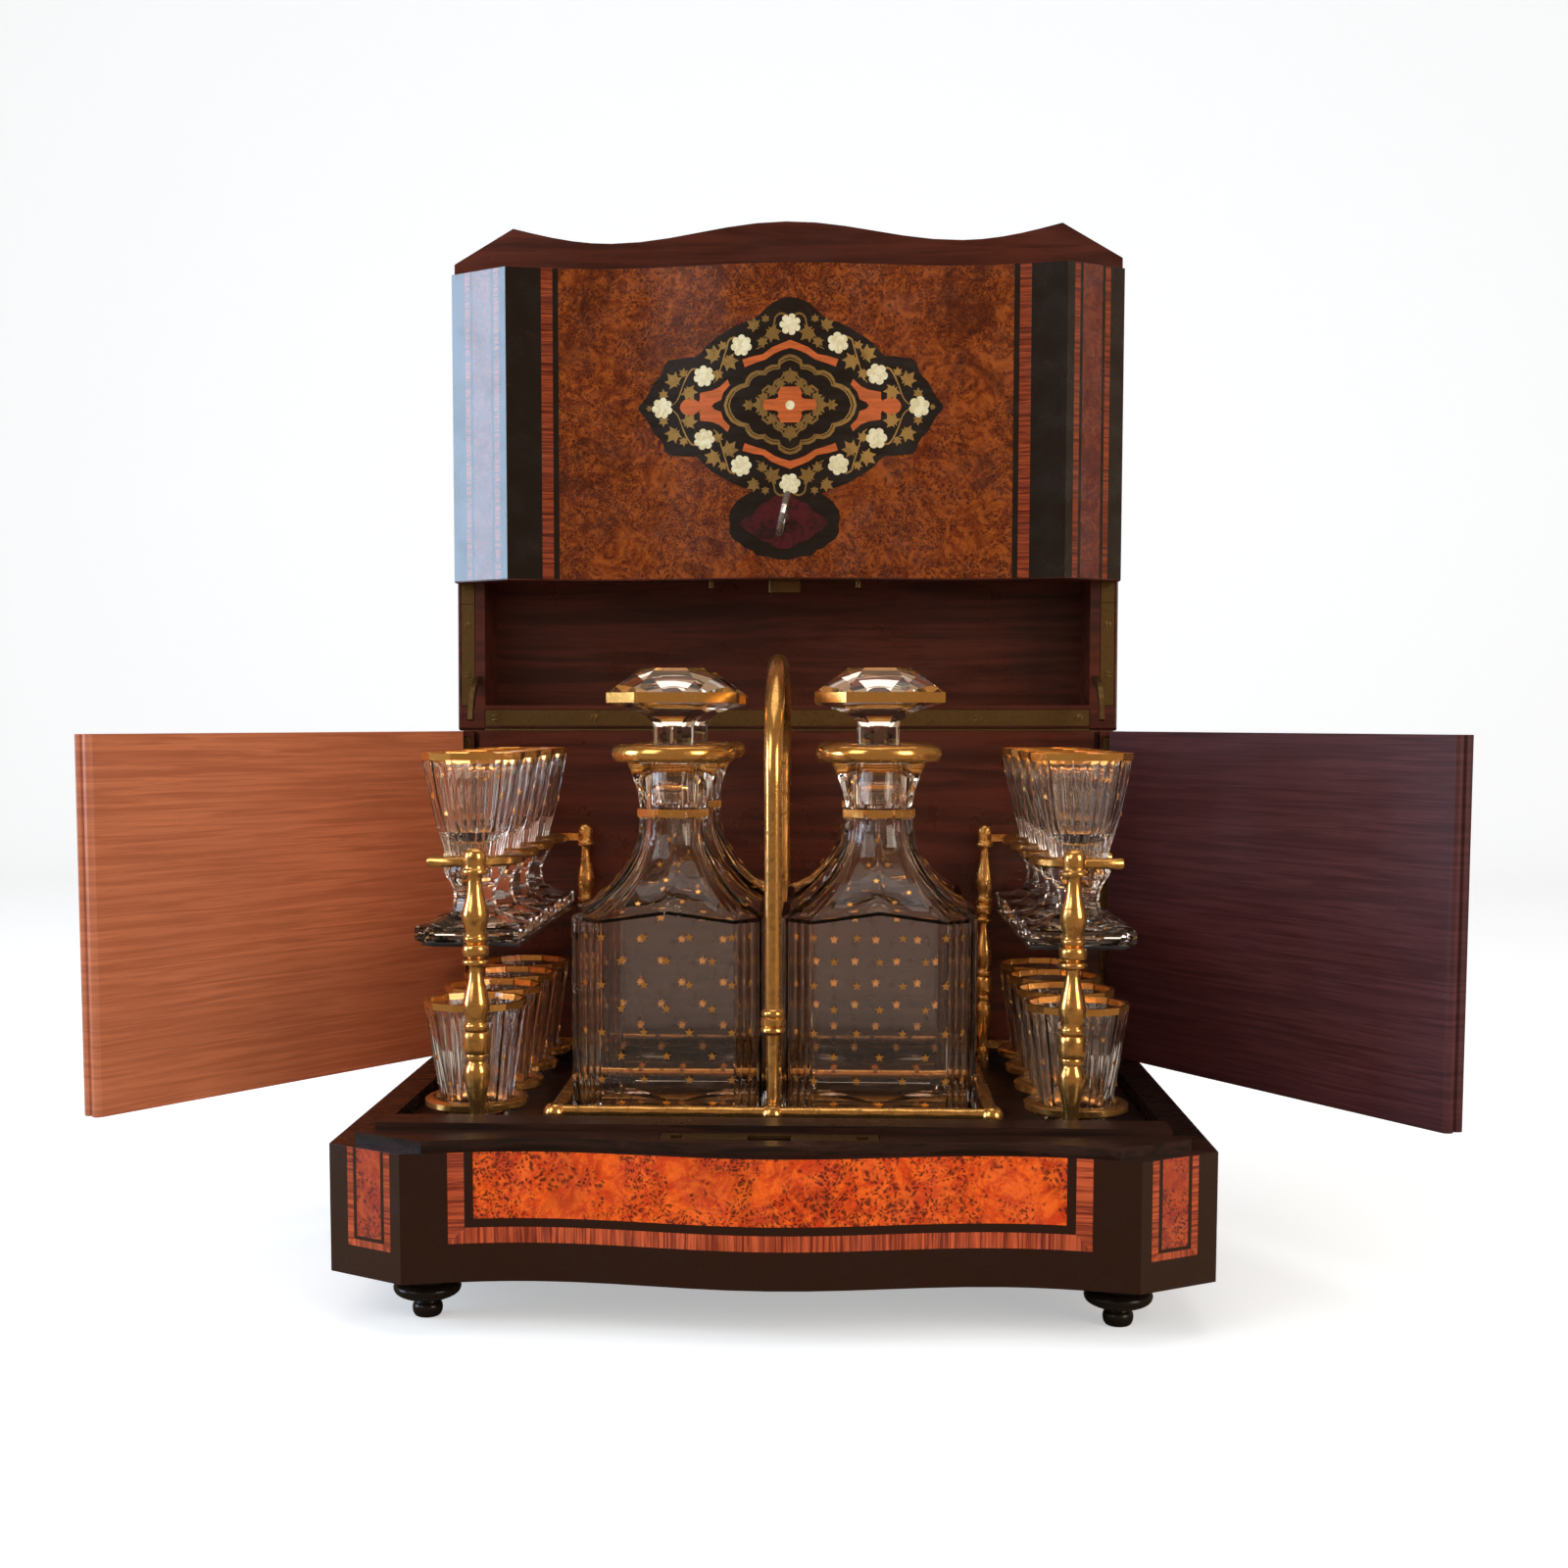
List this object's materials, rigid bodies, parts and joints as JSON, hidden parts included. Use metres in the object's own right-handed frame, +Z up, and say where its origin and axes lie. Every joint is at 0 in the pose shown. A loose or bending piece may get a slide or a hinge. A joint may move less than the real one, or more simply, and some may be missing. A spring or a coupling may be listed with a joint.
{
  "type": "liqueur cabinet",
  "caption": "Serpentine-fronted liqueur cabinet with lift-up lid, drop front, hinged sides and a lift-out rack of square decanters and glasses.",
  "frame": {"origin": "centre of the plan of the box round the object as shown open, on the surface that it stands on", "axes": "+X to the viewer's right along the hinge line of the lid, +Y to the back, +Z up; the front faces -Y"},
  "size_m": [0.5412, 0.294, 0.4598],
  "materials": {
    "burl": "polished burl veneer with ebonised and tulipwood bands",
    "ebonised": "gloss ebonised wood",
    "mahogany": "polished dark mahogany",
    "dark_wood": "dark polished wood",
    "brass": "aged brass",
    "gilt": "gilt brass",
    "crystal": "cut crystal with gilt stars and bands"
  },
  "bodies": {
    "cabinet": {"base_front_rail": "burl", "base_left_rail": "ebonised", "base_right_rail": "ebonised", "base_back_rail": "ebonised", "base_floor_board": "dark_wood", "base_bottom_board": "dark_wood", "strike_plate": "brass", "foot_front_left": "ebonised", "foot_front_right": "ebonised", "foot_rear_left": "ebonised", "foot_rear_right": "ebonised", "back_panel": "mahogany", "door_hinge_strip_left": "brass", "door_hinge_strip_right": "brass"},
    "lid_pin": {"lid_hinge_pin": "brass"},
    "lid": {"lid_tray": "burl", "lid_hinge_strip": "brass", "lid_side_strip_left": "brass", "lid_side_strip_right": "brass", "lid_stay_left": "brass", "lid_stay_right": "brass"},
    "flap": {"flap_panel": "burl", "lock_plate": "brass"},
    "bolt": {"lock_bolt": "brass"},
    "key": {"key": "brass"},
    "left_door": {"left_door": "mahogany", "left_door_leaf": "brass"},
    "right_door": {"right_door": "mahogany", "right_door_leaf": "brass"},
    "rack": {"decanter_frame": "gilt", "carrying_handle": "gilt", "glass_stand_left": "gilt", "glass_stand_right": "gilt", "glass_shelf_left": "dark_wood", "glass_shelf_right": "dark_wood", "stemmed_glass_left_1": "crystal", "stemmed_glass_right_1": "crystal"},
    "decanter_front_left": {"decanter_front_left": "crystal"},
    "stopper_front_left": {"stopper_front_left": "crystal"},
    "decanter_front_right": {"decanter_front_right": "crystal"},
    "stopper_front_right": {"stopper_front_right": "crystal"},
    "decanter_rear_left": {"decanter_rear_left": "crystal"},
    "stopper_rear_left": {"stopper_rear_left": "crystal"},
    "decanter_rear_right": {"decanter_rear_right": "crystal"},
    "stopper_rear_right": {"stopper_rear_right": "crystal"},
    "tumbler_left_1": {"tumbler_left_1": "crystal"},
    "tumbler_left_2": {"tumbler_left_2": "crystal"},
    "stemmed_glass_left_2": {"stemmed_glass_left_2": "crystal"},
    "tumbler_left_3": {"tumbler_left_3": "crystal"},
    "stemmed_glass_left_3": {"stemmed_glass_left_3": "crystal"},
    "tumbler_left_4": {"tumbler_left_4": "crystal"},
    "stemmed_glass_left_4": {"stemmed_glass_left_4": "crystal"},
    "tumbler_right_1": {"tumbler_right_1": "crystal"},
    "tumbler_right_2": {"tumbler_right_2": "crystal"},
    "stemmed_glass_right_2": {"stemmed_glass_right_2": "crystal"},
    "tumbler_right_3": {"tumbler_right_3": "crystal"},
    "stemmed_glass_right_3": {"stemmed_glass_right_3": "crystal"},
    "tumbler_right_4": {"tumbler_right_4": "crystal"},
    "stemmed_glass_right_4": {"stemmed_glass_right_4": "crystal"}
  },
  "joints": [
    {"name": "lid_pin_hinge", "type": "hinge", "parent": "cabinet", "child": "lid_pin", "pos_m": [0.00518, 0.09377, 0.2215], "axis": [1, 0, 0], "range_deg": [0, 34]},
    {"name": "lid_hinge", "type": "hinge", "parent": "lid_pin", "child": "lid", "pos_m": [0.00518, 0.09377, 0.2215], "axis": [1, 0, 0], "range_deg": [0, 58]},
    {"name": "flap_hinge", "type": "hinge", "parent": "lid", "child": "flap", "pos_m": [0.00518, 0.09671, 0.43483], "axis": [1, 0, 0], "range_deg": [-91.4, 0]},
    {"name": "key_turn", "type": "hinge", "parent": "flap", "child": "key", "pos_m": [0.00518, 0.0705, 0.3187], "axis": [0, 0.9999, -0.0105], "range_deg": [-90, 0]},
    {"name": "bolt_slide", "type": "slide", "parent": "flap", "child": "bolt", "axis": [0, -0.0105, -0.9999], "range_m": [-0.0056, 0]},
    {"name": "left_door_hinge", "type": "hinge", "parent": "cabinet", "child": "left_door", "pos_m": [-0.15482, 0.08497, 0.069], "axis": [0, 0, 1], "range_deg": [-65, 35]},
    {"name": "right_door_hinge", "type": "hinge", "parent": "cabinet", "child": "right_door", "pos_m": [0.16518, 0.08497, 0.069], "axis": [0, 0, -1], "range_deg": [-68.5, 31.5]},
    {"name": "rack_lift", "type": "slide", "parent": "cabinet", "child": "rack", "axis": [0, 0, -1], "range_m": [-0.045, 0]},
    {"name": "decanter_front_left_lift", "type": "slide", "parent": "rack", "child": "decanter_front_left", "axis": [0, 0, -1], "range_m": [-0.05, 0]},
    {"name": "stopper_front_left_lift", "type": "slide", "parent": "decanter_front_left", "child": "stopper_front_left", "axis": [0, 0, -1], "range_m": [-0.035, 0]},
    {"name": "decanter_front_right_lift", "type": "slide", "parent": "rack", "child": "decanter_front_right", "axis": [0, 0, -1], "range_m": [-0.05, 0]},
    {"name": "stopper_front_right_lift", "type": "slide", "parent": "decanter_front_right", "child": "stopper_front_right", "axis": [0, 0, -1], "range_m": [-0.035, 0]},
    {"name": "decanter_rear_left_lift", "type": "slide", "parent": "rack", "child": "decanter_rear_left", "axis": [0, 0, -1], "range_m": [-0.05, 0]},
    {"name": "stopper_rear_left_lift", "type": "slide", "parent": "decanter_rear_left", "child": "stopper_rear_left", "axis": [0, 0, -1], "range_m": [-0.035, 0]},
    {"name": "decanter_rear_right_lift", "type": "slide", "parent": "rack", "child": "decanter_rear_right", "axis": [0, 0, -1], "range_m": [-0.05, 0]},
    {"name": "stopper_rear_right_lift", "type": "slide", "parent": "decanter_rear_right", "child": "stopper_rear_right", "axis": [0, 0, -1], "range_m": [-0.035, 0]},
    {"name": "tumbler_left_1_lift", "type": "slide", "parent": "rack", "child": "tumbler_left_1", "axis": [0, 0, -1], "range_m": [-0.016, 0]},
    {"name": "tumbler_left_2_lift", "type": "slide", "parent": "rack", "child": "tumbler_left_2", "axis": [0, 0, -1], "range_m": [-0.016, 0]},
    {"name": "stemmed_glass_left_2_slide", "type": "slide", "parent": "rack", "child": "stemmed_glass_left_2", "axis": [1, 0, 0], "range_m": [-0.03, 0]},
    {"name": "tumbler_left_3_lift", "type": "slide", "parent": "rack", "child": "tumbler_left_3", "axis": [0, 0, -1], "range_m": [-0.016, 0]},
    {"name": "stemmed_glass_left_3_slide", "type": "slide", "parent": "rack", "child": "stemmed_glass_left_3", "axis": [1, 0, 0], "range_m": [-0.045, 0]},
    {"name": "tumbler_left_4_lift", "type": "slide", "parent": "rack", "child": "tumbler_left_4", "axis": [0, 0, -1], "range_m": [-0.016, 0]},
    {"name": "stemmed_glass_left_4_slide", "type": "slide", "parent": "rack", "child": "stemmed_glass_left_4", "axis": [1, 0, 0], "range_m": [-0.045, 0]},
    {"name": "tumbler_right_1_lift", "type": "slide", "parent": "rack", "child": "tumbler_right_1", "axis": [0, 0, -1], "range_m": [-0.016, 0]},
    {"name": "tumbler_right_2_lift", "type": "slide", "parent": "rack", "child": "tumbler_right_2", "axis": [0, 0, -1], "range_m": [-0.016, 0]},
    {"name": "stemmed_glass_right_2_slide", "type": "slide", "parent": "rack", "child": "stemmed_glass_right_2", "axis": [-1, 0, 0], "range_m": [-0.03, 0]},
    {"name": "tumbler_right_3_lift", "type": "slide", "parent": "rack", "child": "tumbler_right_3", "axis": [0, 0, -1], "range_m": [-0.016, 0]},
    {"name": "stemmed_glass_right_3_slide", "type": "slide", "parent": "rack", "child": "stemmed_glass_right_3", "axis": [-1, 0, 0], "range_m": [-0.045, 0]},
    {"name": "tumbler_right_4_lift", "type": "slide", "parent": "rack", "child": "tumbler_right_4", "axis": [0, 0, -1], "range_m": [-0.016, 0]},
    {"name": "stemmed_glass_right_4_slide", "type": "slide", "parent": "rack", "child": "stemmed_glass_right_4", "axis": [-1, 0, 0], "range_m": [-0.045, 0]}
  ],
  "couplings": [
    {"joint": "flap_hinge", "follows": "lid_hinge", "ratio": -1.5758},
    {"joint": "bolt_slide", "follows": "key_turn", "m_per_rad": 0.003565}
  ]
}
